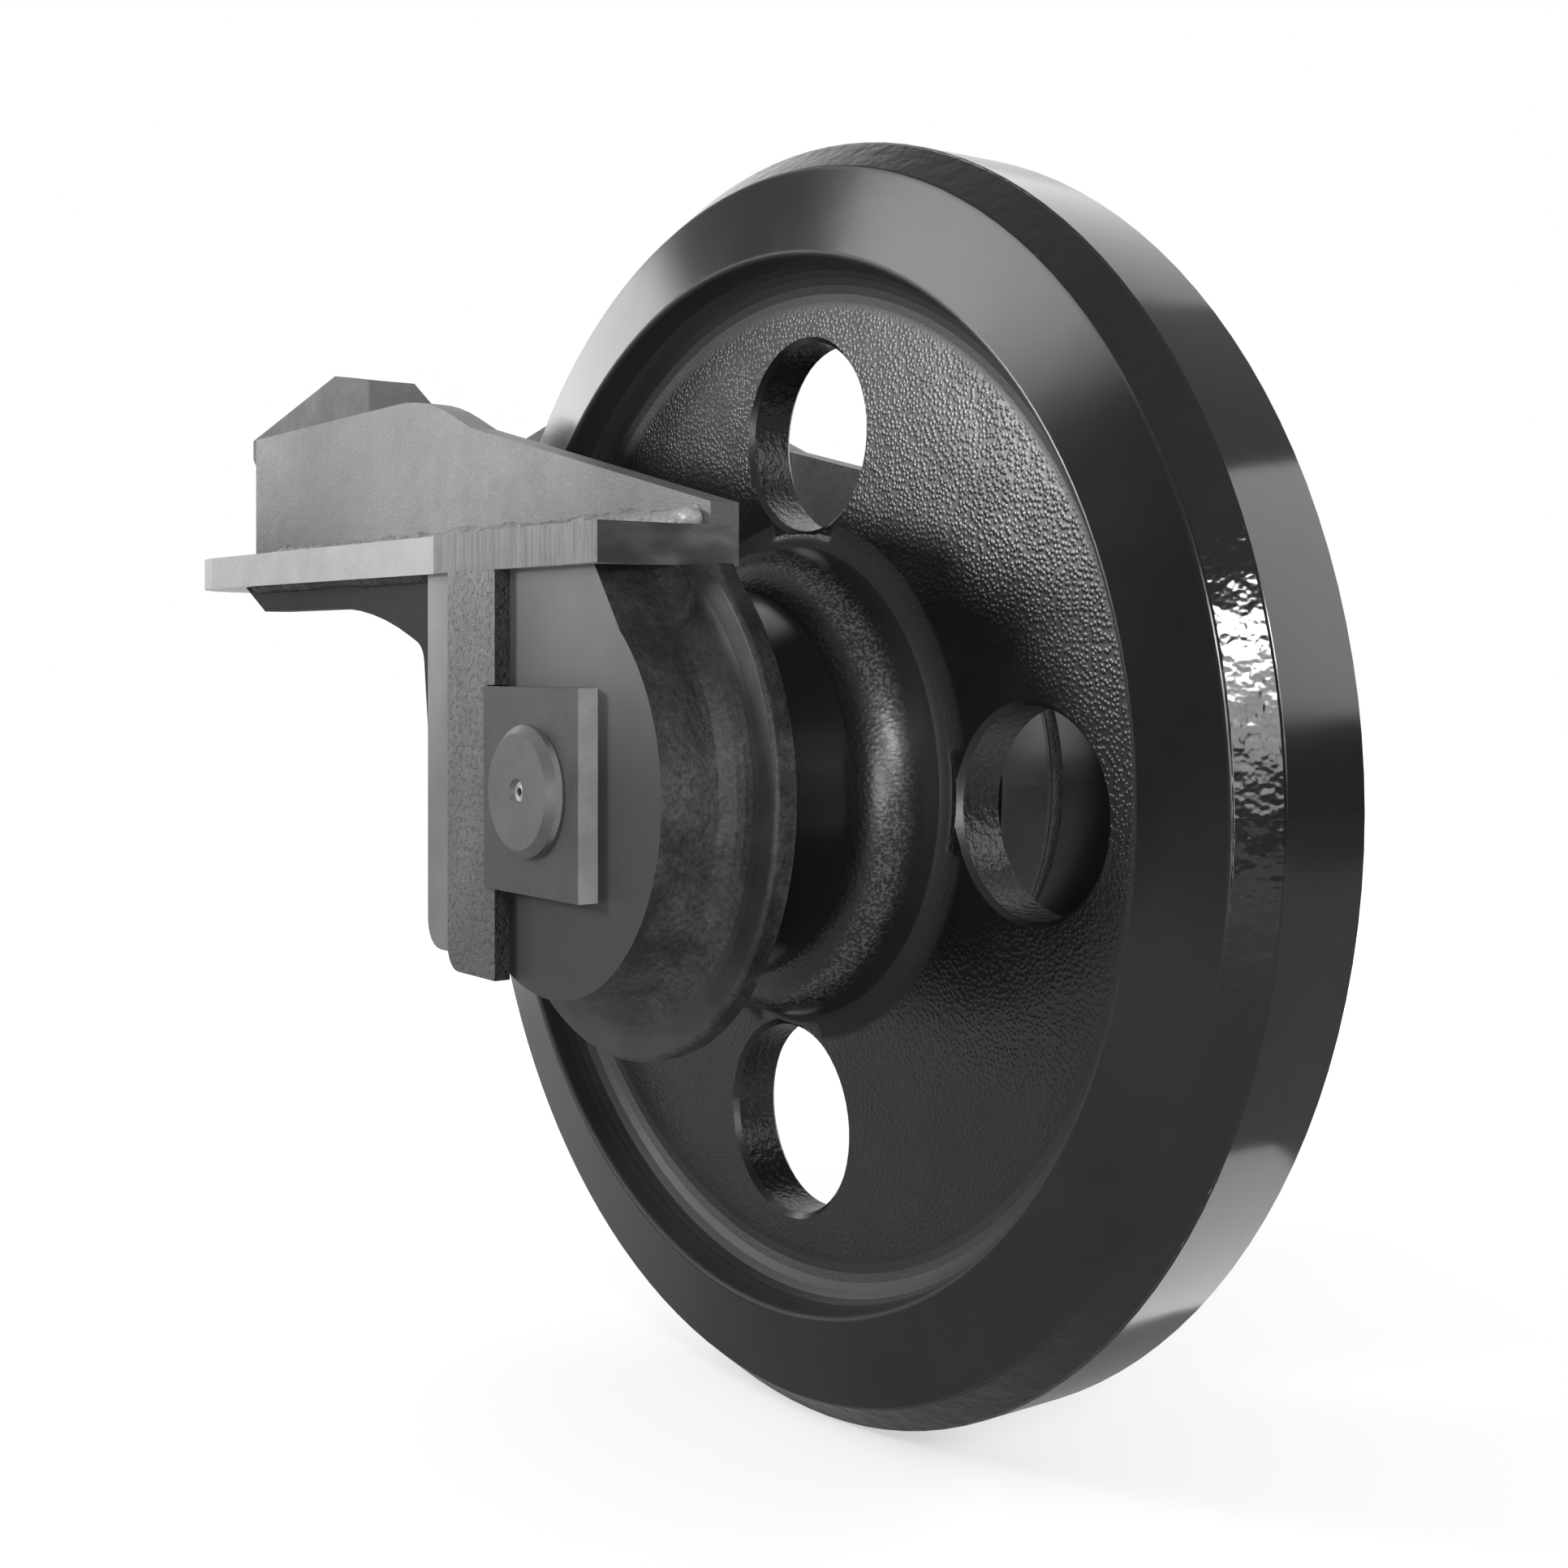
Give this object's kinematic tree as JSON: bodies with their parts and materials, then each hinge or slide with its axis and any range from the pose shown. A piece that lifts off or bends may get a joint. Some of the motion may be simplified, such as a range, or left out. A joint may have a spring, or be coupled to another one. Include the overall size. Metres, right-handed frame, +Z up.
{
  "type": "excavator front idler",
  "caption": "Cast steel track idler wheel with round lightening holes, turning on a fixed shaft between two welded slide brackets with ribbed arms, black painted.",
  "frame": {"origin": "centre of the wheel rim, on the shaft axis", "axes": "+X to the front of the track, away from the bracket arms; +Y along the shaft to the left-hand bracket; +Z up"},
  "size_m": [1.338, 0.586, 0.9998],
  "materials": {
    "wheel_paint": "gloss black over casting",
    "block_paint": "gloss black over rough casting",
    "plate_paint": "satin black over flame-cut plate",
    "shaft_paint": "satin black over turned steel",
    "plug_steel": "bare",
    "seal_iron": "lapped",
    "bronze": "machined",
    "seal_rubber": "matt"
  },
  "bodies": {
    "bracket": {"shaft": "shaft_paint", "shaft_o_ring_right": "seal_rubber", "shaft_o_ring_left": "seal_rubber", "oil_plug_right": "plug_steel", "oil_plug_left": "plug_steel", "fixed_seal_right": "seal_iron", "fixed_seal_left": "seal_iron", "fixed_toric_right": "seal_rubber", "fixed_toric_left": "seal_rubber", "bearing_block_right": "block_paint", "bearing_block_left": "block_paint", "keeper_plate_right": "plate_paint", "keeper_plate_left": "plate_paint", "guide_bar_right": "plate_paint", "guide_bar_left": "plate_paint", "slide_plate_right": "plate_paint", "slide_plate_left": "plate_paint", "rib_right": "plate_paint", "rib_left": "plate_paint", "gusset_right": "plate_paint", "gusset_left": "plate_paint", "rear_lug_right": "plate_paint", "rear_lug_left": "plate_paint"},
    "wheel": {"idler_wheel": "wheel_paint", "bushing_right": "bronze", "bushing_left": "bronze", "turning_seal_right": "seal_iron", "turning_seal_left": "seal_iron", "turning_toric_right": "seal_rubber", "turning_toric_left": "seal_rubber"}
  },
  "joints": [
    {"name": "wheel_spin", "type": "hinge", "parent": "bracket", "child": "wheel", "pos_m": [0, 0, 0], "axis": [0, 1, 0], "continuous": true}
  ]
}
